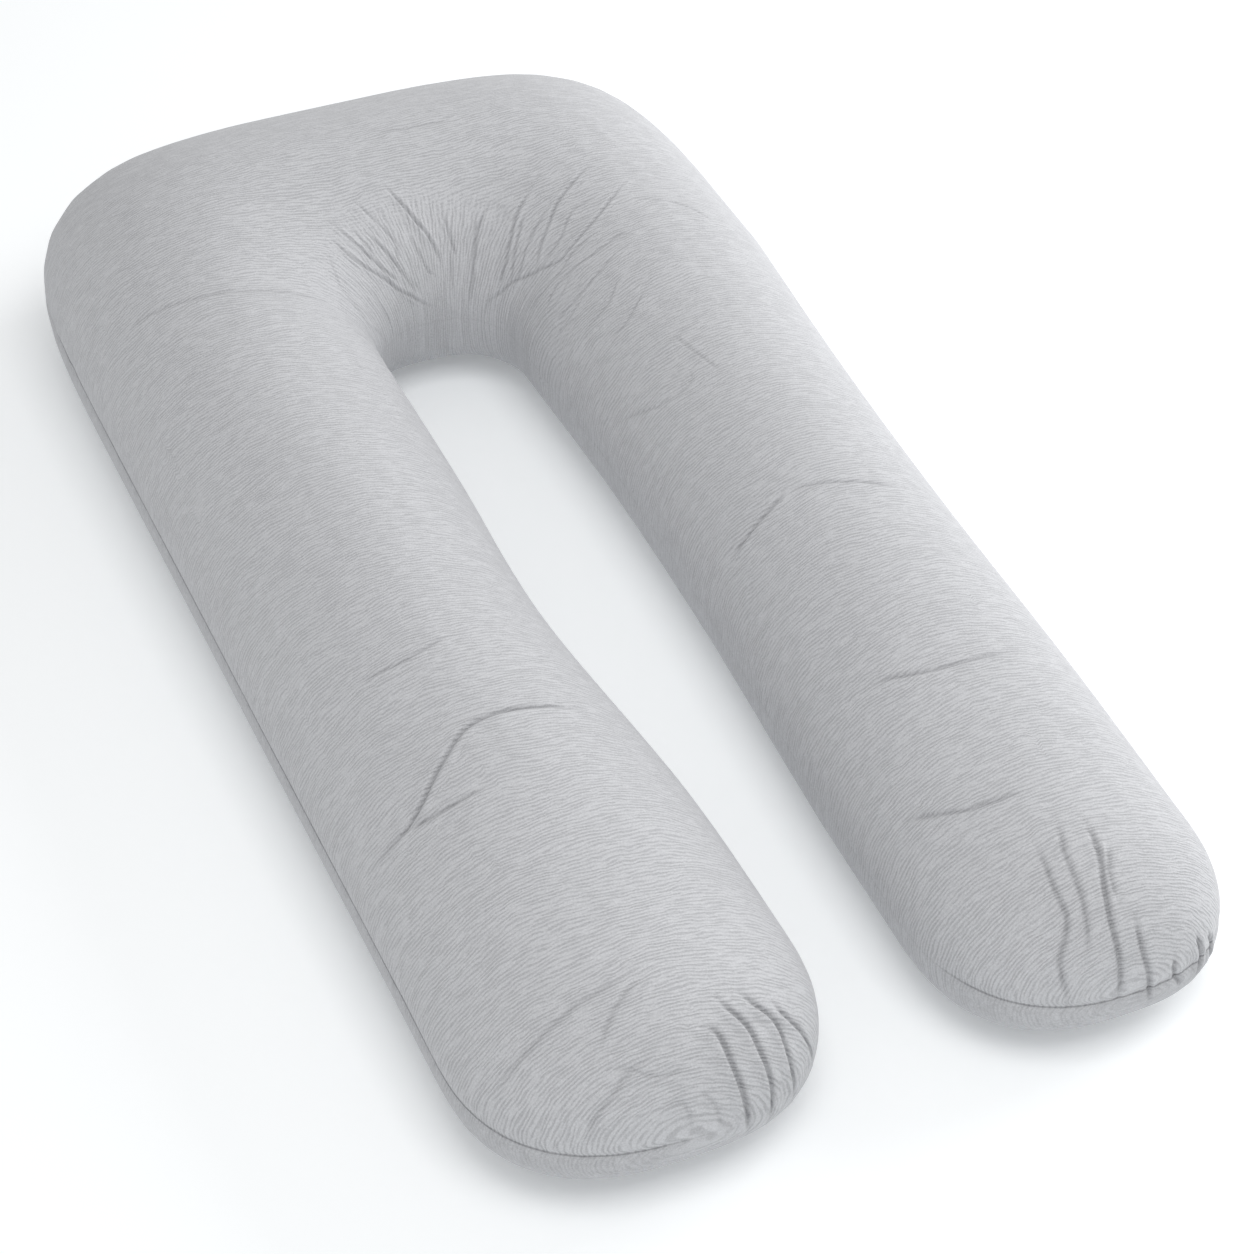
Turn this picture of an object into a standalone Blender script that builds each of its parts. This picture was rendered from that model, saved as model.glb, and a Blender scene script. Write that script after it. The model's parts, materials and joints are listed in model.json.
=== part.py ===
"""Body pillow: one U of filled jersey cloth, lying flat on its underside.

Two long legs join in a broad bend. The pillow is sewn from an upper and a lower panel, whose
single seam runs all the way round as a shallow channel, a little below half the height.

Frame: metres, +Z up. The underside lies on z = 0, the bend is toward +Y, the legs' round ends
are toward -Y, and x = 0 and y = 0 are the middle of the pillow's outer size.
"""
import math
from collections import namedtuple

import bmesh
import bpy

# Driving dimensions, in metres.
LENGTH = 1.40            # from the legs' round ends to the outside of the bend
BEND_CENTRE_Y = 0.305    # where the legs run into the bend, and the centre of its fan of ribs
END_LENGTH = 0.145       # the stretch over which a leg closes to its round end
LEG_START_Y = -LENGTH / 2 + END_LENGTH  # where a leg is past its round end
BEND_INNER_RISE = 0.045  # how far the gap between the legs reaches past the bend's centre
SEAM_DEPTH = 0.003       # how far the seam is drawn in
SEAM_WIDTH = 0.010       # width of the channel that it makes
SETTLING = 0.004         # how far the underside is pressed flat by the pillow's own weight

# Shape of the cross section and of the outlines. A power of 2 gives an ellipse, and a higher
# one a squarer curve.
SEAM_HEIGHT_SHARE = 0.40  # the seam's height, as a share of the crown's
UPPER_POWER = 1.9
LOWER_POWER = 3.0
END_PLAN_POWER = 2.4
END_SIDE_POWER = 2.5
BEND_OUTER_POWER = 4.5

# How finely the cloth is faceted.
LEG_RIBS = 26
END_RIBS = 9
BEND_RIBS = 40
UPPER_STEPS = 14
LOWER_STEPS = 12

# A leg's cross sections: how far along it lies, as a share of the way from the round end to the
# bend, how far its inner and outer edges are from x = 0, and the height of its crown.
Section = namedtuple("Section", "along inner outer crown")
LEFT_LEG = (
    Section(0.00, 0.040, 0.345, 0.160),
    Section(0.20, 0.045, 0.345, 0.170),
    Section(0.50, 0.070, 0.345, 0.175),
    Section(0.75, 0.065, 0.345, 0.180),
    Section(1.00, 0.065, 0.345, 0.190),
)
RIGHT_LEG = (
    Section(0.00, 0.045, 0.310, 0.160),
    Section(0.20, 0.050, 0.315, 0.170),
    Section(0.50, 0.065, 0.320, 0.175),
    Section(0.75, 0.070, 0.330, 0.180),
    Section(1.00, 0.065, 0.345, 0.190),
)

# The crown rises from the legs' last sections to this height, over the first part of the turn
# on each side.
BEND_CROWN = 0.210
BEND_RISE_ANGLE = math.radians(60)

# A rib is a cross section of the pillow: its inner and outer edge in plan, its crown's height,
# the seam's height, and how far a round end has closed it in height, from 1, open, to 0.
Rib = namedtuple("Rib", "inner outer crown seam opening")


def blend_rows(rows, share, column):
    """A column's value at a share of the leg, on a smooth curve through the rows."""
    points = [(row.along, getattr(row, column)) for row in rows]
    last = len(points) - 1
    low = max(i for i in range(last) if points[i][0] <= share or i == 0)

    def slope(i):
        before, after = points[max(i - 1, 0)], points[min(i + 1, last)]
        return (after[1] - before[1]) / (after[0] - before[0])

    (x0, y0), (x1, y1) = points[low], points[low + 1]
    width = x1 - x0
    t = (share - x0) / width
    return (
        (2 * t**3 - 3 * t**2 + 1) * y0
        + (t**3 - 2 * t**2 + t) * width * slope(low)
        + (3 * t**2 - 2 * t**3) * y1
        + (t**3 - t**2) * width * slope(low + 1)
    )


def leg_rib(rows, side, y, plan_opening=1.0, side_opening=1.0):
    """A rib across a leg. side is -1 on the left and 1 on the right."""
    share = max(0.0, (y - LEG_START_Y) / (BEND_CENTRE_Y - LEG_START_Y))
    inner, outer, crown = (blend_rows(rows, share, name) for name in Section._fields[1:])
    middle = (inner + outer) / 2
    half = (outer - inner) / 2 * plan_opening
    return Rib(
        (side * (middle - half), y), (side * (middle + half), y),
        crown, crown * SEAM_HEIGHT_SHARE, side_opening,
    )


def leg_ribs(rows, side):
    """A leg's ribs, from the first one past its round end up to the bend."""
    ribs = []
    for i in range(1, END_RIBS + 1):
        reach = math.cos(math.pi / 2 * i / (END_RIBS + 1))
        plan = (1 - reach**END_PLAN_POWER) ** (1 / END_PLAN_POWER)
        height = (1 - reach**END_SIDE_POWER) ** (1 / END_SIDE_POWER)
        ribs.append(leg_rib(rows, side, LEG_START_Y - END_LENGTH * reach, plan, height))
    for i in range(LEG_RIBS):
        y = LEG_START_Y + (BEND_CENTRE_Y - LEG_START_Y) * i / LEG_RIBS
        ribs.append(leg_rib(rows, side, y))
    return ribs


def bend_ribs():
    """The ribs that fan round the bend, from the left leg to the right one."""
    ribs = []
    bend_length = LENGTH / 2 - BEND_CENTRE_Y
    for i in range(BEND_RIBS + 1):
        angle = math.pi * (1 - i / BEND_RIBS)
        across, along = math.cos(angle), math.sin(angle)
        leg_end = (LEFT_LEG if across < 0 else RIGHT_LEG)[-1]
        outer = (
            abs(across / leg_end.outer) ** BEND_OUTER_POWER
            + abs(along / bend_length) ** BEND_OUTER_POWER
        ) ** (-1 / BEND_OUTER_POWER)
        inner = 1 / math.hypot(across / leg_end.inner, along / BEND_INNER_RISE)
        turned = min(min(angle, math.pi - angle) / BEND_RISE_ANGLE, 1)
        rise = turned**2 * (3 - 2 * turned)
        crown = leg_end.crown + (BEND_CROWN - leg_end.crown) * rise
        ribs.append(Rib(
            (inner * across, BEND_CENTRE_Y + inner * along),
            (outer * across, BEND_CENTRE_Y + outer * along),
            crown, crown * SEAM_HEIGHT_SHARE, 1.0,
        ))
    return ribs


def arc(power, lift, steps):
    """Points over half a cross section, from its outer edge to its inner one, as (across, rise).

    across runs from 1 to -1, and rise reaches 1 in the middle. lift is the first point's rise.
    """
    start = math.asin(lift ** (power / 2))
    points = []
    for i in range(steps + 1):
        angle = start + (math.pi - 2 * start) * i / steps
        across = math.copysign(abs(math.cos(angle)) ** (2 / power), math.cos(angle))
        points.append((across, math.sin(angle) ** (2 / power)))
    return points


def rib_points(rib):
    """The points of one rib: outer seam, upper panel, inner seam, lower panel."""
    middle = [(a + b) / 2 for a, b in zip(rib.inner, rib.outer)]
    half = [(b - a) / 2 for a, b in zip(rib.inner, rib.outer)]
    half_width = math.hypot(*half)
    above = (rib.crown - rib.seam) * rib.opening
    below = (rib.seam + SETTLING) * rib.opening
    lift = SEAM_WIDTH / 2 * rib.opening
    drawn_in = 1 - min(SEAM_DEPTH * rib.opening / half_width, 0.5)

    upper = arc(UPPER_POWER, lift / above, UPPER_STEPS)
    lower = arc(LOWER_POWER, lift / below, LOWER_STEPS)
    outline = [(drawn_in, rib.seam)]
    outline += [(across, rib.seam + above * rise) for across, rise in upper]
    outline += [(-drawn_in, rib.seam)]
    outline += [(across, rib.seam - below * rise) for across, rise in reversed(lower)]
    return [
        (middle[0] + half[0] * across, middle[1] + half[1] * across, max(z, 0.0))
        for across, z in outline
    ]


def add_end(mesh, tip, ring, turned):
    """Close a leg's round end with triangles from its first ring to the tip."""
    count = len(ring)
    for i in range(count):
        corners = (tip, ring[i], ring[(i + 1) % count])
        mesh.faces.new(corners if turned else corners[::-1])


def make_pillow():
    """The pillow as one closed skin over its ribs, from the left leg's end to the right one's."""
    ribs = leg_ribs(LEFT_LEG, -1) + bend_ribs() + leg_ribs(RIGHT_LEG, 1)[::-1]
    mesh = bmesh.new()
    rings = [[mesh.verts.new(point) for point in rib_points(rib)] for rib in ribs]
    for ring, following in zip(rings, rings[1:]):
        for i in range(len(ring)):
            j = (i + 1) % len(ring)
            mesh.faces.new((ring[i], ring[j], following[j], following[i]))
    for rib, ring, turned in ((ribs[0], rings[0], True), (ribs[-1], rings[-1], False)):
        middle_x = (rib.inner[0] + rib.outer[0]) / 2
        add_end(mesh, mesh.verts.new((middle_x, -LENGTH / 2, rib.seam)), ring, turned)
    bmesh.ops.recalc_face_normals(mesh, faces=mesh.faces)
    bmesh.ops.triangulate(mesh, faces=mesh.faces)

    data = bpy.data.meshes.new("pillow")
    mesh.to_mesh(data)
    mesh.free()
    pillow = bpy.data.objects.new("pillow", data)
    bpy.context.scene.collection.objects.link(pillow)
    data.shade_smooth()
    return pillow


def grey_jersey():
    """Light grey cotton jersey, dull and soft."""
    material = bpy.data.materials.new("grey_jersey")
    material.use_nodes = True
    shader = material.node_tree.nodes["Principled BSDF"]
    shader.inputs["Base Color"].default_value = (0.55, 0.56, 0.58, 1.0)
    shader.inputs["Roughness"].default_value = 0.9
    shader.inputs["Metallic"].default_value = 0.0
    return material


for old in list(bpy.data.objects):
    bpy.data.objects.remove(old, do_unlink=True)
make_pillow().data.materials.append(grey_jersey())
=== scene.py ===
"""Looks of the U-shaped body pillow: a soft jersey cover, blown up by its filling.

Metres, +Z up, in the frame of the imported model. The bend lies toward +Y, the legs' round ends
toward -Y, and the left leg is at -X.
"""
import json
import math
from collections import namedtuple

import bmesh
import bpy
import numpy as np
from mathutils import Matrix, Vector, noise
from mathutils.bvhtree import BVHTree

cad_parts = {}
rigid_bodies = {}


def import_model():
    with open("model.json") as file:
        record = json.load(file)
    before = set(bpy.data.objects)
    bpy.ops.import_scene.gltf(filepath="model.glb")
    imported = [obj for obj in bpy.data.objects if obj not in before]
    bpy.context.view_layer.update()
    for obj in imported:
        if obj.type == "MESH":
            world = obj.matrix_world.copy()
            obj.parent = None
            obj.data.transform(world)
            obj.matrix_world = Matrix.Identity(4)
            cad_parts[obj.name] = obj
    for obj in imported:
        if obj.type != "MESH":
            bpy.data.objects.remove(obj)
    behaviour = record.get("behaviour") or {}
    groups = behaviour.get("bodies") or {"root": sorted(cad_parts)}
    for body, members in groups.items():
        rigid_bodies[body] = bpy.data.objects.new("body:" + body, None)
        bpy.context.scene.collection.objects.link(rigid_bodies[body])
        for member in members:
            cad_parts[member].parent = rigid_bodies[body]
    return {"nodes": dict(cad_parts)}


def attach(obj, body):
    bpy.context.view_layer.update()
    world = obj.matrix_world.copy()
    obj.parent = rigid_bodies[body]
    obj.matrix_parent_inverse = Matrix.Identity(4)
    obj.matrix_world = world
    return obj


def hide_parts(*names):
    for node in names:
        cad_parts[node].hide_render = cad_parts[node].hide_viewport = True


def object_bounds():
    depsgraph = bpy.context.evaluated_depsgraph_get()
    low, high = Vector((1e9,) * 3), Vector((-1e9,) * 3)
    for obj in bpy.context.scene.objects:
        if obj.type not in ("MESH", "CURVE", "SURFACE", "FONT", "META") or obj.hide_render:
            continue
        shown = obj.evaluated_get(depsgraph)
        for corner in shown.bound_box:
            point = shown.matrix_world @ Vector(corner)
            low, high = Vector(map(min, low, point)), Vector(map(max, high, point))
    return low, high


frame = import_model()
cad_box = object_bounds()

MM = 0.001
PILLOW = "pillow"
CELLS_A_RISE = 1.75       # noise cells in one rise and fall of a noise

# ---------------------------------------------------------------------------------------------
# Sizes of the cover
# ---------------------------------------------------------------------------------------------

VOXEL = 6 * MM            # spacing of the cloth's points before they are subdivided
START_INSET = 11 * MM     # how much smaller the cover starts than the pillow's solid
MOST_FILLED = 3 * MM      # how far from the solid the filling may leave the cover
FILLING_PRESSURE = 4
FILLING_FRAMES = 20
SAME_PLACE = 0.05 * MM    # points nearer than this are merged
SMOOTHING = 0.5
SMOOTHING_PASSES = 6
FINE_ZONE = 6 * MM        # the cloth is three times as fine within this distance of a fold
FINE_CUTS = 2
MOST_TRIANGLES = 198_000

# The seam between the two panels lies at a share of the crown's height. The crown rises along
# the legs, and again round the bend. A leg's row is y and the crown's height there.
SEAM_SHARE = 0.40
LEG_CROWNS = ((-0.555, 0.160), (-0.385, 0.170), (-0.125, 0.175), (0.090, 0.180), (0.305, 0.190))
BEND_CENTRE_Y = 0.305
BEND_CROWN = cad_box[1][2]
LEG_START_Y = LEG_CROWNS[0][0]   # the legs' ends turn down from here,
BACK_START_Y = 0.525             # and the bend's back from here
BEND_RISE_ANGLE = math.radians(60)
SEAM_DEPTH = 1.8 * MM
SEAM_WIDTH = 4 * MM

# Round the inside of the bend the cloth is pulled in short strokes that point to the bend's
# centre. They are full within the first distance from it, and gone past the second.
RIM_FULL = 90 * MM
RIM_END = 145 * MM
RIDGE_SPACING = 10 * MM          # soft ridges between the strokes
RIDGE_LENGTH = 60 * MM
RIDGE_HEIGHT = 1.0 * MM

# The seam shows on the outer sides and the ends, and hardly at all beside the gap or in the
# left end's gathers.
INNER_SIDE_END = 180 * MM
INNER_SIDE_FADE = 40 * MM
ENDS_START_Y = -0.60

# Folds are troughs in the cloth, pressed in along listed paths. Sizes are millimetres. A path's
# points are x and y for a fold seen from above, and x and z for one seen from the legs' ends. lip
# is how high the cloth stands up beside the trough, as a share of the depth. A lip below 0 stands
# up only on the right along the path.
Fold = namedtuple("Fold", "depth width lip path")
FULLY_DARK = 1.5          # a fold this deep, or deeper, has the full painted shade in its trough
PATH_STEP = 4             # between the points of a smoothed path
FOLD_REACH = 4            # how far a fold moves the cloth, in its own widths
LIP_PLACE = 2.0           # how far the lip is from the trough, in widths
LIP_WIDTH = 1.1
TAPER = 0.2               # a fold fades over this share of its length at each end,
TAPERED_DEPTH = 0.15      # down to this share of its depth

PULLED_AT_BEND = (
    Fold(0.5, 1.5, 0.4, ((-90, 385), (-90, 350), (-75, 330), (-55, 335))),
    Fold(1.0, 1.7, 0.6, ((-85, 405), (-65, 380), (-35, 365), (-20, 360), (5, 355))),
    Fold(0.9, 1.5, 0.6, ((-75, 415), (-55, 390), (-40, 375), (-25, 365))),
    Fold(0.8, 1.5, 0.6, ((-45, 405), (-30, 385), (-20, 370), (-10, 360))),
    Fold(0.5, 1.3, 0.4, ((-20, 395), (-20, 375), (-5, 360))),
    Fold(0.9, 1.5, 0.8, ((-10, 445), (5, 410), (15, 390), (20, 370))),
    Fold(0.6, 1.3, 0.4, ((-5, 400), (0, 385), (5, 370), (15, 365))),
    Fold(0.8, 1.5, 0.5, ((35, 405), (35, 385), (35, 370))),
    Fold(0.4, 1.3, 0.4, ((30, 375), (25, 355))),
    Fold(1.0, 1.7, 0.9, ((80, 400), (60, 380), (45, 355), (35, 345))),
    Fold(1.0, 1.7, 0.6, ((125, 395), (100, 375), (80, 350), (65, 335))),
    Fold(0.8, 1.5, 0.5, ((105, 370), (85, 345), (75, 330))),
    Fold(1.0, 1.7, 0.6, ((185, 395), (140, 365), (125, 350), (105, 330), (95, 315))),
    Fold(0.6, 1.5, 0.5, ((170, 350), (145, 345), (125, 325), (100, 315))),
    Fold(1.0, 1.7, 0.6, ((210, 360), (165, 325), (125, 305), (110, 305), (75, 330), (35, 345))),
    Fold(0.8, 1.5, 0.5, ((185, 275), (170, 285), (145, 280), (105, 280), (85, 270))),
    Fold(0.8, 1.5, 0.5, ((160, 265), (125, 250), (100, 245), (85, 250))),
    Fold(0.6, 1.5, 0.4, ((145, 230), (125, 210), (100, 205))),
    Fold(0.6, 1.5, 0.4, ((160, 200), (130, 175), (110, 170))),
    Fold(0.6, 1.4, 0.4, ((-60, 415), (-45, 385), (-35, 365), (-15, 355))),
    Fold(0.6, 1.4, 0.4, ((0, 425), (10, 400), (20, 380))),
    Fold(0.6, 1.4, 0.4, ((-45, 435), (-30, 410), (-15, 385))),
    Fold(0.7, 1.4, 0.4, ((130, 365), (100, 345), (85, 330), (75, 325))),
    Fold(0.7, 1.4, 0.4, ((160, 305), (130, 300), (110, 290), (90, 290), (70, 290))),
    Fold(0.5, 1.4, 0.4, ((-65, 360), (-45, 345), (-35, 345))),
    Fold(0.5, 1.4, 0.4, ((115, 275), (100, 265), (85, 265))),
    Fold(0.5, 1.4, 0.4, ((115, 240), (95, 235), (80, 235))),
)
CREASES_ON_LEGS = (
    Fold(1.0, 1.8, 0.4, ((-275, -215), (-240, -220), (-195, -210))),
    Fold(1.6, 2.4, 0.5, ((-325, -380), (-290, -375), (-250, -340), (-210, -315), (-120, -315))),
    Fold(1.3, 2.2, 0.5, ((-295, -380), (-265, -385), (-235, -385))),
    Fold(0.8, 2.4, 0.3, ((-320, -625), (-300, -620), (-250, -610), (-205, -605))),
    Fold(0.8, 2.4, 0.3, ((-200, -610), (-225, -625), (-245, -645))),
    Fold(0.6, 2.6, 0.3, ((-305, 355), (-250, 340), (-175, 325), (-110, 320))),
    Fold(1.2, 2.2, 0.4, ((110, -375), (160, -395), (230, -395))),
    Fold(1.2, 2.2, 0.4, ((90, -150), (125, -140), (150, -130))),
    Fold(0.9, 2.2, 0.4, ((150, -130), (195, -145), (245, -160))),
    Fold(1.1, 2.2, 0.4, ((75, -505), (115, -535), (160, -545))),
    Fold(0.5, 2.6, 0.3, ((5, 515), (85, 510))),
    Fold(0.5, 1.8, 0.3, ((155, 125), (165, 70), (170, 50))),
    Fold(0.5, 1.8, 0.3, ((205, 330), (245, 315), (270, 285))),
    Fold(0.5, 1.8, 0.3, ((150, 75), (140, 55), (110, 60), (85, 90))),
)
GATHERS_AT_LEFT_END = (
    Fold(2.6, 2.8, -1.3, ((-170, 135), (-160, 130), (-155, 110), (-150, 85), (-145, 45))),
    Fold(2.8, 2.8, -1.2, ((-150, 140), (-135, 125), (-130, 110), (-125, 85), (-125, 45))),
    Fold(2.8, 2.8, -1.2, ((-130, 135), (-110, 115), (-105, 90), (-100, 45))),
    Fold(2.2, 2.6, -1.0, ((-105, 120), (-85, 90), (-75, 55))),
    Fold(0.7, 2.0, 0.3, ((-275, 75), (-265, 95), (-250, 110), (-230, 125), (-210, 130))),
    Fold(0.7, 2.0, 0.3, ((-245, 125), (-230, 125), (-215, 120), (-190, 120))),
    Fold(0.6, 2.2, 0.3, ((-215, 100), (-200, 100), (-195, 85), (-195, 70))),
    Fold(0.6, 2.2, 0.3, ((-185, 105), (-175, 90), (-170, 65))),
)
GATHERS_AT_RIGHT_END = (
    Fold(1.2, 2.4, 0.4, ((165, 155), (155, 150), (150, 135), (145, 120), (140, 105))),
    Fold(1.9, 2.4, 0.5, ((185, 155), (180, 150), (170, 140), (165, 125), (165, 105), (165, 55))),
    Fold(1.3, 2.4, 0.4, ((140, 150), (135, 140), (135, 130), (130, 120), (120, 100), (125, 65))),
    Fold(1.1, 2.2, 0.4, ((190, 150), (180, 145), (175, 135))),
    Fold(1.7, 2.4, 0.5, ((185, 125), (185, 105), (190, 80), (195, 45))),
    Fold(1.6, 2.4, 0.5, ((215, 85), (215, 70), (225, 50))),
    Fold(2.0, 2.4, 0.9, ((240, 90), (245, 65), (240, 45))),
    Fold(1.6, 2.4, 0.8, ((255, 80), (260, 65), (260, 45))),
)
FROM_ABOVE = Vector((0, 0, -1))
FROM_THE_ENDS = Vector((0, 1, 0))


# ---------------------------------------------------------------------------------------------
# The cover's shape
# ---------------------------------------------------------------------------------------------

def deselect_all():
    for thing in bpy.context.scene.objects:
        thing.select_set(False)


def make_active(piece):
    deselect_all()
    piece.select_set(True)
    bpy.context.view_layer.objects.active = piece


def apply_modifier(piece, kind, **settings):
    """Add a modifier with its settings, and apply it."""
    make_active(piece)
    modifier = piece.modifiers.new(kind.lower(), kind)
    for name, value in settings.items():
        setattr(modifier, name, value)
    bpy.ops.object.modifier_apply(modifier=modifier.name)


def read_points(piece):
    """The piece's points and their normals, as two arrays."""
    mesh = piece.data
    points = np.empty((len(mesh.vertices), 3))
    normals = np.empty((len(mesh.vertices), 3))
    mesh.vertices.foreach_get("co", points.ravel())
    mesh.vertices.foreach_get("normal", normals.ravel())
    return points, normals


def write_points(piece, points):
    piece.data.vertices.foreach_set("co", points.astype(np.float32).ravel())
    piece.data.update()


def start_cover():
    """A copy of the pillow's solid, merged and remeshed into even squares."""
    cover = frame["nodes"][PILLOW].copy()
    cover.data = cover.data.copy()
    cover.name = cover.data.name = "pillow_cover"
    for mark in [name for name in cover.keys() if name.startswith("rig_")]:
        del cover[mark]
    cover.parent = None
    cover.data.materials.clear()
    bpy.context.scene.collection.objects.link(cover)
    make_active(cover)
    bpy.ops.object.mode_set(mode="EDIT")
    bpy.ops.mesh.select_all(action="SELECT")
    bpy.ops.mesh.remove_doubles(threshold=SAME_PLACE)
    bpy.ops.object.mode_set(mode="OBJECT")
    apply_modifier(cover, "REMESH", mode="VOXEL", voxel_size=VOXEL, use_smooth_shade=True)
    return cover


def fill_cover(cover):
    """Draw the cover in, and let the filling's pressure round it, as far as it may go.

    Left free, the pressure bulges the underside and draws in the sides, so the cap is measured
    from the solid.
    """
    points, normals = read_points(cover)
    write_points(cover, points - normals * START_INSET)
    make_active(cover)
    cloth = cover.modifiers.new("filling", "CLOTH")
    cloth.settings.use_pressure = True
    cloth.settings.uniform_pressure_force = FILLING_PRESSURE
    cloth.settings.effector_weights.gravity = 0
    cloth.point_cache.frame_start = 1
    cloth.point_cache.frame_end = FILLING_FRAMES
    for number in range(1, FILLING_FRAMES + 1):
        bpy.context.scene.frame_set(number)
    bpy.ops.object.modifier_apply(modifier=cloth.name)
    filled, _ = read_points(cover)
    moved = filled - points
    reach = np.linalg.norm(moved, axis=1, keepdims=True)
    write_points(cover, points + moved * np.minimum(1, MOST_FILLED / np.maximum(reach, 1e-9)))


def smoothstep(share):
    """Ease a share, or an array of them, in and out."""
    return share * share * (3 - 2 * share)


def note(cover, name, values):
    """Keep a number, or a place, at each of the cover's points, for its material."""
    kind, field = ("FLOAT", "value") if values.ndim == 1 else ("FLOAT_VECTOR", "vector")
    mark = cover.data.attributes.new(name, kind, "POINT")
    mark.data.foreach_set(field, values.astype(np.float32).ravel())


def seam_height(points):
    """Height of the seam beside each point."""
    leg_y, leg_crown = zip(*LEG_CROWNS)
    crown = np.interp(points[:, 1], leg_y, leg_crown)
    past_legs = np.maximum(points[:, 1] - BEND_CENTRE_Y, 0)
    turned = np.minimum(np.arctan2(past_legs, np.abs(points[:, 0])) / BEND_RISE_ANGLE, 1)
    crown += (BEND_CROWN - crown) * smoothstep(turned)
    return crown * SEAM_SHARE


def bend_places(points):
    """Each point's distance from the bend's centre, its way round it, and its share of the rim."""
    ahead = points[:, 1] - BEND_CENTRE_Y
    away = np.hypot(points[:, 0], ahead)
    near = np.clip((RIM_END - away) / (RIM_END - RIM_FULL), 0, 1)
    return away, np.arctan2(points[:, 0], ahead) * RIM_FULL, smoothstep(near)


def seam_shows(points):
    """How clearly the seam shows beside each point, from 0 to 1."""
    x, y, _ = points.T
    ahead = y - BEND_CENTRE_Y
    from_gap = np.where(ahead > 0, np.hypot(x, ahead), np.abs(x))
    outside = np.clip((from_gap - INNER_SIDE_END) / INNER_SIDE_FADE, 0, 1)
    on_end = np.clip((ENDS_START_Y - y) / INNER_SIDE_FADE, 0, 1)
    gathered = (x < 0) * np.clip((x + INNER_SIDE_END + INNER_SIDE_FADE) / INNER_SIDE_FADE, 0, 1)
    return np.maximum(outside, on_end * (1 - gathered))


def draw_in_seam(cover):
    """Pull the cloth in along the seam, and note where the seam is for the material."""
    points, normals = read_points(cover)
    above = points[:, 2] - seam_height(points)
    shows = seam_shows(points)
    inward = SEAM_DEPTH * shows * np.exp(-((above / SEAM_WIDTH) ** 2))
    write_points(cover, points - normals * inward[:, None])
    note(cover, "above_seam", above)
    note(cover, "seam_shows", shows)


def raise_ridges(cover):
    """Raise the cloth in soft uneven ridges that point to the bend's centre, above the seam."""
    points, normals = read_points(cover)
    away, turned, near = bend_places(points)
    above = points[:, 2] - seam_height(points)
    height = RIDGE_HEIGHT * near * np.clip(above / RIDGE_SPACING, 0, 1)
    for i in np.nonzero(height)[0]:
        cell = Vector((away[i] / RIDGE_LENGTH, CELLS_A_RISE * turned[i] / RIDGE_SPACING, 0))
        points[i] += normals[i] * height[i] * noise.noise(cell)
    write_points(cover, points)


def mark_places(cover):
    """Note where each point is for the crinkles.

    Across the pillow a crinkle keeps its y, measured along the cloth where that turns down at
    the legs' ends and at the bend's back. Round the bend it keeps its angle.
    """
    points, _ = read_points(cover)
    x, y, z = points.T
    along = y.copy()
    for start, end in ((LEG_START_Y, cad_box[0][1]), (BACK_START_Y, cad_box[1][1])):
        reach = end - start
        turned = np.clip((y - start) / reach, 0, 1)
        along += reach * (np.arcsin(turned) - turned)
    note(cover, "cloth_place", np.stack([x, along, z], axis=1))
    away, turned, near = bend_places(points)
    note(cover, "bend_place", np.stack([away, turned, 0 * away], axis=1))
    note(cover, "near_rim", near)


def smooth_path(corners):
    """Points a step apart on a Catmull-Rom curve through a path's corners."""
    corners = [Vector(corner) for corner in corners]
    ends = [2 * corners[0] - corners[1], *corners, 2 * corners[-1] - corners[-2]]
    path = []
    for before, first, second, after in zip(ends, ends[1:], ends[2:], ends[3:]):
        count = max(2, int((second - first).length / PATH_STEP))
        for i in range(count):
            t = i / count
            path.append(
                first * (1 + t * t * (1.5 * t - 2.5)) + second * t * (0.5 + t * (2 - 1.5 * t))
                + before * t * (t * (1 - 0.5 * t) - 0.5) + after * t * t * (0.5 * t - 0.5)
            )
    return [*path, corners[-1]]


def lay_on_cloth(tree, path, view):
    """A fold's path, dropped on the cloth from above or pushed on to it from the legs' ends."""
    laid = []
    for point in smooth_path(path):
        a, b = point * MM
        start = Vector((a, b, 1)) if view == FROM_ABOVE else Vector((a, -1, b))
        hit = tree.ray_cast(start, view)[0]
        if hit is not None:
            laid.append(hit)
    return np.array(laid)


def near_line(points, line, reach):
    """Which points are in the box round a line, widened by a reach on every side."""
    inside = (points > line.min(0) - reach) & (points < line.max(0) + reach)
    return np.nonzero(inside.all(axis=1))[0]


def fold_profile(points, normals, fold, line):
    """How far the fold moves the points near it along their normals, and how deep in it each is.

    The depth is a share of a fully dark fold's, and sets how much painted shade the trough gets.
    """
    width = fold.width * MM
    reach = FOLD_REACH * width
    where = near_line(points, line, reach)
    best = np.full(len(where), reach)
    side = np.zeros(len(where))
    along = np.zeros(len(where))
    lengths = np.linalg.norm(np.diff(line, axis=0), axis=1)
    total = lengths.sum()
    passed = 0.0
    for first, second, length in zip(line, line[1:], lengths):
        if length < 1e-6:
            continue
        run = (second - first) / length
        offset = points[where] - first
        t = np.clip(offset @ run, 0, length)
        gap = offset - t[:, None] * run
        far = np.linalg.norm(gap, axis=1)
        closer = far < best
        best[closer] = far[closer]
        along[closer] = (passed + t[closer]) / total
        right = np.cross(run, normals[where])
        side[closer] = np.sign((gap * right).sum(1))[closer]
        passed += length
    taper = smoothstep(np.clip(np.minimum(along, 1 - along) / TAPER, 0, 1))
    taper = taper * (1 - TAPERED_DEPTH) + TAPERED_DEPTH * (best < reach)
    trough = -np.exp(-((best / width) ** 2))
    lip = np.abs(fold.lip) * np.exp(-(((best / width - LIP_PLACE) / LIP_WIDTH) ** 2))
    if fold.lip < 0:
        lip = lip * (side > 0)
    depth = fold.depth * taper
    return where, depth * MM * (trough + lip), np.minimum(-trough * depth / FULLY_DARK, 1)


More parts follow.
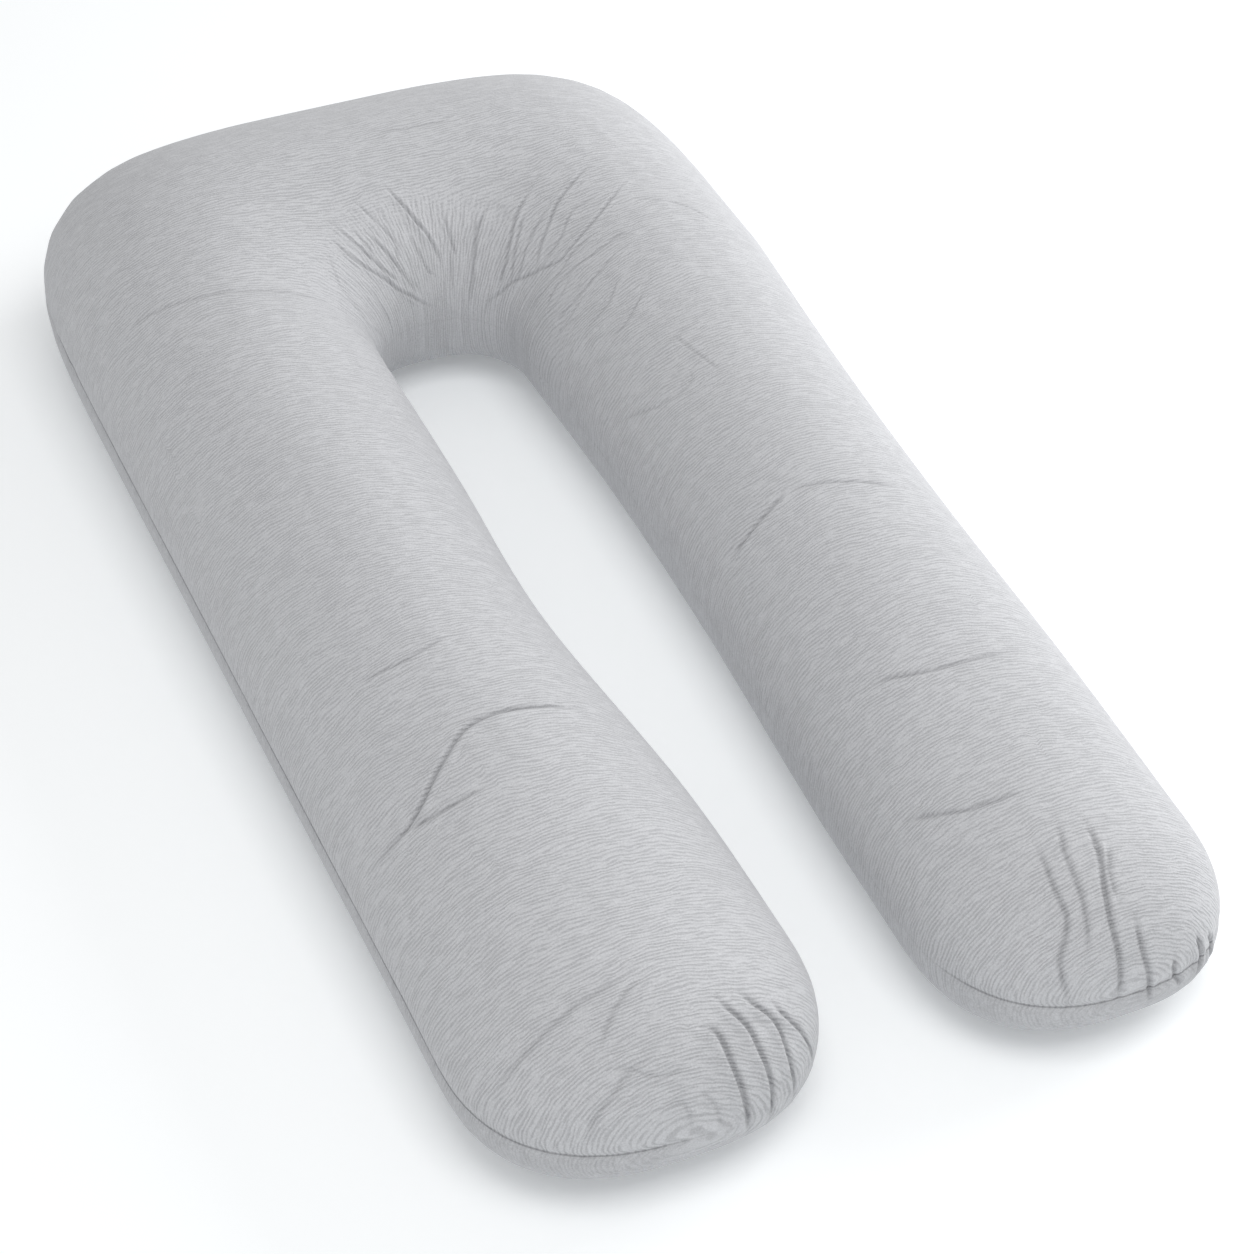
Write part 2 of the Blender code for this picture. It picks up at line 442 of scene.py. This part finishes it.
def refine_near(cover, lines):
    """Divide the squares of the cloth near the folds."""
    points, _ = read_points(cover)
    close = np.zeros(len(points), bool)
    for line in lines:
        where = near_line(points, line, FINE_ZONE)
        gaps = np.linalg.norm(points[where][:, None] - line[None], axis=2).min(1)
        close[where[gaps < FINE_ZONE]] = True
    mesh = bmesh.new()
    mesh.from_mesh(cover.data)
    mesh.verts.ensure_lookup_table()
    edges = [e for e in mesh.edges if close[e.verts[0].index] and close[e.verts[1].index]]
    bmesh.ops.subdivide_edges(mesh, edges=edges, cuts=FINE_CUTS, use_grid_fill=True)
    mesh.to_mesh(cover.data)
    mesh.free()


def press_folds(cover):
    """Press the folds into the cloth, and note how deep in them each point is, for painted shade.
    """
    tables = (
        (PULLED_AT_BEND, FROM_ABOVE), (CREASES_ON_LEGS, FROM_ABOVE),
        (GATHERS_AT_LEFT_END, FROM_THE_ENDS), (GATHERS_AT_RIGHT_END, FROM_THE_ENDS),
    )
    cloth = bmesh.new()
    cloth.from_mesh(cover.data)
    tree = BVHTree.FromBMesh(cloth)
    cloth.free()
    folds = [
        (fold, lay_on_cloth(tree, fold.path, view)) for table, view in tables for fold in table
    ]
    refine_near(cover, [line for _, line in folds])
    points, normals = read_points(cover)
    offset = np.zeros(len(points))
    depth = np.zeros(len(points))
    for fold, line in folds:
        where, moved, deep = fold_profile(points, normals, fold, line)
        offset[where] += moved
        depth[where] = np.maximum(depth[where], deep)
    write_points(cover, points + normals * offset[:, None])
    note(cover, "fold_depth", depth)


def rest_on_floor(cover):
    """Press the underside flat where it lies."""
    points, _ = read_points(cover)
    points[:, 2] = np.maximum(points[:, 2], 0)
    write_points(cover, points)


def make_cover():
    cover = start_cover()
    fill_cover(cover)
    apply_modifier(cover, "SMOOTH", factor=SMOOTHING, iterations=SMOOTHING_PASSES)
    rest_on_floor(cover)
    apply_modifier(cover, "SUBSURF", levels=1, render_levels=1)
    draw_in_seam(cover)
    raise_ridges(cover)
    mark_places(cover)
    press_folds(cover)
    rest_on_floor(cover)
    triangles = sum(len(face.vertices) - 2 for face in cover.data.polygons)
    if triangles > MOST_TRIANGLES:
        apply_modifier(cover, "DECIMATE", ratio=MOST_TRIANGLES / triangles)
    make_active(cover)
    bpy.ops.object.shade_smooth()
    return cover


# ---------------------------------------------------------------------------------------------
# Materials
# ---------------------------------------------------------------------------------------------

def linear(colour):
    """An sRGB hex colour as linear red, green, blue and alpha."""
    parts = [int(colour[i : i + 2], 16) / 255 for i in (1, 3, 5)]
    return (*(p / 12.92 if p <= 0.04045 else ((p + 0.055) / 1.055) ** 2.4 for p in parts), 1.0)


def add_node(tree, kind, inputs=None, output=0, **settings):
    """Add a node with its settings, and its inputs linked or set. Returns one of its outputs."""
    made = tree.nodes.new(kind)
    for name, value in settings.items():
        setattr(made, name, value)
    for name, value in (inputs or {}).items():
        if isinstance(value, bpy.types.NodeSocket):
            tree.links.new(value, made.inputs[name])
        else:
            made.inputs[name].default_value = value
    return made.outputs[output]


# Node kinds, by their everyday names.
MATH = "ShaderNodeMath"
VECTOR_MATH = "ShaderNodeVectorMath"
NOISE = "ShaderNodeTexNoise"
RANGE = "ShaderNodeMapRange"
MIX = "ShaderNodeMix"
ATTRIBUTE = "ShaderNodeAttribute"

# Real sizes of the jersey's surface.
CRINKLE_SPACING = 3.4 * MM   # between the fine crinkles, measured along the pillow
CRINKLE_LENGTH = 16 * MM
CRINKLE_WAVER = 5.0          # how unevenly the crinkles are spaced
CRINKLE_DEPTH = 0.30         # millimetres, as every depth in the material is
WANDER = 9 * MM              # how far a crinkle strays from straight
WANDER_SPACING = 80 * MM
FUZZ = 1.3 * MM              # loops are finer, and are drawn this coarse so that they show
FUZZ_DEPTH = 0.10
MOTTLE = 6 * MM              # the lower panel's dimples
MOTTLE_DEPTH = 0.35
STITCH_DEPTH = 0.7
BAND_PERIOD = math.pi / 10   # the wave texture's own spacing, at a scale of 1
CRINKLE_CELLS = (1 / CRINKLE_LENGTH, CELLS_A_RISE / CRINKLE_SPACING, 1 / CRINKLE_LENGTH)
CRINKLE_BANDS = (1 / CRINKLE_LENGTH, BAND_PERIOD / CRINKLE_SPACING, 1 / CRINKLE_LENGTH)

# How much of the darker colour shows in each place. For the crinkles and the folds it is painted
# shade in their troughs; for the fuzz, the lower panel's dimples and the stitching it is their own
# tone.
CRINKLE_PAINTED_SHADE = 0.18
FUZZ_SHADE = 0.40
MOTTLE_SHADE = 0.20
FOLD_PAINTED_SHADE = 0.28
STITCH_SHADE = 0.30


def cotton_jersey():
    """Cotton jersey knit, dyed light grey: dull and slightly fuzzy, in fine crosswise crinkles.

    The crinkles run across the pillow, so they are long in x and z and short in y. Round the
    inside of the bend they turn to point to its centre. Down in the crinkles and the folds the
    colour is painted darker, as shade.
    """
    material = bpy.data.materials.new("cotton_jersey")
    material.use_nodes = True
    tree = material.node_tree
    shader = tree.nodes["Principled BSDF"]
    place = add_node(tree, "ShaderNodeTexCoord", output="Object")

    # Two ways for the crinkles to run: across the pillow, and toward the bend's centre.
    sway = add_node(tree, NOISE, {"Vector": place, "Scale": 1 / WANDER_SPACING, "Detail": 1.0})
    sway = add_node(tree, RANGE, {"Value": sway, "To Min": -WANDER, "To Max": WANDER})
    sway = add_node(tree, "ShaderNodeCombineXYZ", {"Y": sway})
    across = add_node(tree, ATTRIBUTE, output="Vector", attribute_name="cloth_place")
    across = add_node(tree, VECTOR_MATH, {0: across, 1: sway}, operation="ADD")
    pulled = add_node(tree, ATTRIBUTE, output="Vector", attribute_name="bend_place")

    # For each way, a wave spaces the crinkles evenly, and a noise breaks them up.
    ways = []
    for way in (across, pulled):
        cells = add_node(tree, VECTOR_MATH, {0: way, 1: CRINKLE_CELLS}, operation="MULTIPLY")
        broken = add_node(tree, NOISE, {
            "Vector": cells, "Scale": 1.0, "Detail": 1.0, "Roughness": 0.6,
        })
        broken = add_node(tree, RANGE, {"Value": broken, "From Min": 0.3, "From Max": 0.7})
        bands = add_node(tree, VECTOR_MATH, {0: way, 1: CRINKLE_BANDS}, operation="MULTIPLY")
        bands = add_node(tree, "ShaderNodeTexWave", {
            "Vector": bands, "Scale": 1.0, "Distortion": CRINKLE_WAVER, "Detail": 1.0,
        }, output="Fac", bands_direction="Y")
        ways.append(add_node(tree, MIX, {"Factor": 0.5, "A": broken, "B": bands}, output="Result"))
    near_rim = add_node(tree, ATTRIBUTE, output="Fac", attribute_name="near_rim")
    crinkles = add_node(tree, MIX, {
        "Factor": near_rim, "A": ways[0], "B": ways[1],
    }, output="Result")
    crinkles = add_node(tree, RANGE, {
        "Value": crinkles, "From Min": 0.15, "From Max": 0.65, "To Min": 1.0, "To Max": 0.0,
    }, interpolation_type="SMOOTHSTEP")

    # The lower panel is plain but dimpled, and the stitching is a line. Both fade beside the gap.
    above = add_node(tree, ATTRIBUTE, output="Fac", attribute_name="above_seam")
    shows = add_node(tree, ATTRIBUTE, output="Fac", attribute_name="seam_shows")
    shows = add_node(tree, RANGE, {"Value": shows, "To Min": 0.15, "To Max": 1.0})
    lower = add_node(tree, RANGE, {
        "Value": above, "From Min": -1 * MM, "From Max": 1 * MM, "To Min": 1.0, "To Max": 0.0,
    })
    lower = add_node(tree, MATH, {0: lower, 1: shows}, operation="MULTIPLY")
    crinkle_share = add_node(tree, RANGE, {"Value": lower, "To Min": 1.0, "To Max": 0.5})
    crinkles = add_node(tree, MATH, {0: crinkles, 1: crinkle_share}, operation="MULTIPLY")
    mottle = add_node(tree, NOISE, {"Vector": place, "Scale": 1 / MOTTLE, "Detail": 2.0})
    mottle = add_node(tree, MATH, {0: mottle, 1: lower}, operation="MULTIPLY")
    off_seam = add_node(tree, MATH, {0: above}, operation="ABSOLUTE")
    stitches = add_node(tree, RANGE, {
        "Value": off_seam, "From Min": 0.3 * MM, "From Max": 1.5 * MM, "To Min": 1.0, "To Max": 0.0,
    })
    stitches = add_node(tree, MATH, {0: stitches, 1: shows}, operation="MULTIPLY")
    fuzz = add_node(tree, NOISE, {"Vector": place, "Scale": 1 / FUZZ, "Detail": 1.0})
    folds = add_node(tree, ATTRIBUTE, output="Fac", attribute_name="fold_depth")

    # Each layer's share of the bump's height, in millimetres, and of the darker colour.
    layers = (
        # The crinkles' darker colour is painted shade down in their troughs, on top of their bump.
        (crinkles, -CRINKLE_DEPTH, CRINKLE_PAINTED_SHADE),
        (fuzz, FUZZ_DEPTH, FUZZ_SHADE),
        (mottle, MOTTLE_DEPTH, MOTTLE_SHADE),
        (stitches, -STITCH_DEPTH, STITCH_SHADE),
        # The folds add no bump here: their darker colour is painted shade in the troughs.
        (folds, 0.0, FOLD_PAINTED_SHADE),
    )
    height, shade = 0.0, 0.0
    for layer, depth, darkness in layers:
        height = add_node(tree, MATH, {0: layer, 1: depth, 2: height}, operation="MULTIPLY_ADD")
        shade = add_node(tree, MATH, {0: layer, 1: darkness, 2: shade}, operation="MULTIPLY_ADD")
    bump = add_node(tree, "ShaderNodeBump", {"Height": height, "Distance": 1 * MM, "Strength": 1.0})
    # The darker colour stands for painted shade in the crinkles and folds, and for the cloth's own
    # uneven tone elsewhere.
    colour = add_node(tree, MIX, {
        "Factor": shade, "A": linear("#dadbde"), "B": linear("#4c4c50"),
    }, output="Result", data_type="RGBA")
    tree.links.new(colour, shader.inputs["Base Color"])
    tree.links.new(bump, shader.inputs["Normal"])
    shader.inputs["Roughness"].default_value = 0.92
    shader.inputs["Specular IOR Level"].default_value = 0.25
    shader.inputs["Sheen Weight"].default_value = 0.15
    shader.inputs["Sheen Roughness"].default_value = 0.5
    return material


def pale_floor():
    """Matt white paint on the studio floor, which glows a little so that shadows stay faint."""
    material = bpy.data.materials.new("matt_white_paint")
    material.use_nodes = True
    shader = material.node_tree.nodes["Principled BSDF"]
    shader.inputs["Base Color"].default_value = linear("#f8fafb")
    shader.inputs["Roughness"].default_value = 0.9
    shader.inputs["Specular IOR Level"].default_value = 0.1
    shader.inputs["Emission Color"].default_value = linear("#fafcfd")
    shader.inputs["Emission Strength"].default_value = FLOOR_GLOW
    return material


# ---------------------------------------------------------------------------------------------
# Studio
# ---------------------------------------------------------------------------------------------

FLOOR_SIZE = 30.0
FLOOR_GAP = 0.5 * MM      # keeps the floor just clear of the underside
FLOOR_GLOW = 0.16

# The camera looks from the left leg's end, down on the pillow.
CAMERA_TARGET = Vector((-0.0093, -0.149, 0.08))
CAMERA_AZIMUTH = math.radians(-23.4)
CAMERA_ELEVATION = math.radians(39.1)
CAMERA_DISTANCE = 2.86
CAMERA_LENS = 94.9        # millimetres, on a sensor 36 mm wide

# Soft square lamps: a low one on the right, and one overhead toward the legs' ends.
Lamp = namedtuple("Lamp", "name place size power")
LAMPS = (
    Lamp("key", Vector((3.2, 0.6, 1.1)), 2.4, 80),
    Lamp("overhead", Vector((-0.1, -1.3, 2.9)), 2.0, 34),
)
LAMPS_TARGET = Vector((0, 0, 0.1))
SKY_STRENGTH = 0.55


def direction(azimuth, elevation):
    """The way from the pillow to a viewer. Azimuth 0 looks along +Y."""
    level = math.cos(elevation)
    return Vector((math.sin(azimuth) * level, -math.cos(azimuth) * level, math.sin(elevation)))


def aim(thing, place, target):
    """Put a camera or light at a place, and turn it to a target."""
    thing.location = place
    thing.rotation_euler = (target - place).to_track_quat("-Z", "Y").to_euler()


def add_floor():
    bpy.ops.mesh.primitive_plane_add(size=FLOOR_SIZE, location=(0, 0, -FLOOR_GAP))
    floor = bpy.context.object
    floor.name = "floor"
    floor.data.materials.append(pale_floor())


def add_lights():
    """The lamps, and an even white sky."""
    for row in LAMPS:
        light = bpy.data.lights.new(row.name, "AREA")
        light.size = row.size
        light.energy = row.power
        lamp = bpy.data.objects.new(row.name, light)
        bpy.context.scene.collection.objects.link(lamp)
        aim(lamp, row.place, LAMPS_TARGET)
    world = bpy.data.worlds.new("sky")
    world.use_nodes = True
    sky = world.node_tree.nodes["Background"]
    sky.inputs["Color"].default_value = (1.0, 1.0, 1.0, 1.0)
    sky.inputs["Strength"].default_value = SKY_STRENGTH
    bpy.context.scene.world = world


def add_camera():
    data = bpy.data.cameras.new("camera")
    data.lens = CAMERA_LENS
    data.sensor_width = 36
    data.clip_end = 100
    camera = bpy.data.objects.new("camera", data)
    bpy.context.scene.collection.objects.link(camera)
    place = CAMERA_TARGET + direction(CAMERA_AZIMUTH, CAMERA_ELEVATION) * CAMERA_DISTANCE
    aim(camera, place, CAMERA_TARGET)
    bpy.context.scene.camera = camera


deselect_all()
add_camera()
add_lights()
add_floor()

cover = make_cover()
cover.data.materials.append(cotton_jersey())
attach(cover, "root")
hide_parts(PILLOW)

bpy.context.scene.view_settings.view_transform = "Standard"
bpy.context.view_layer.update()
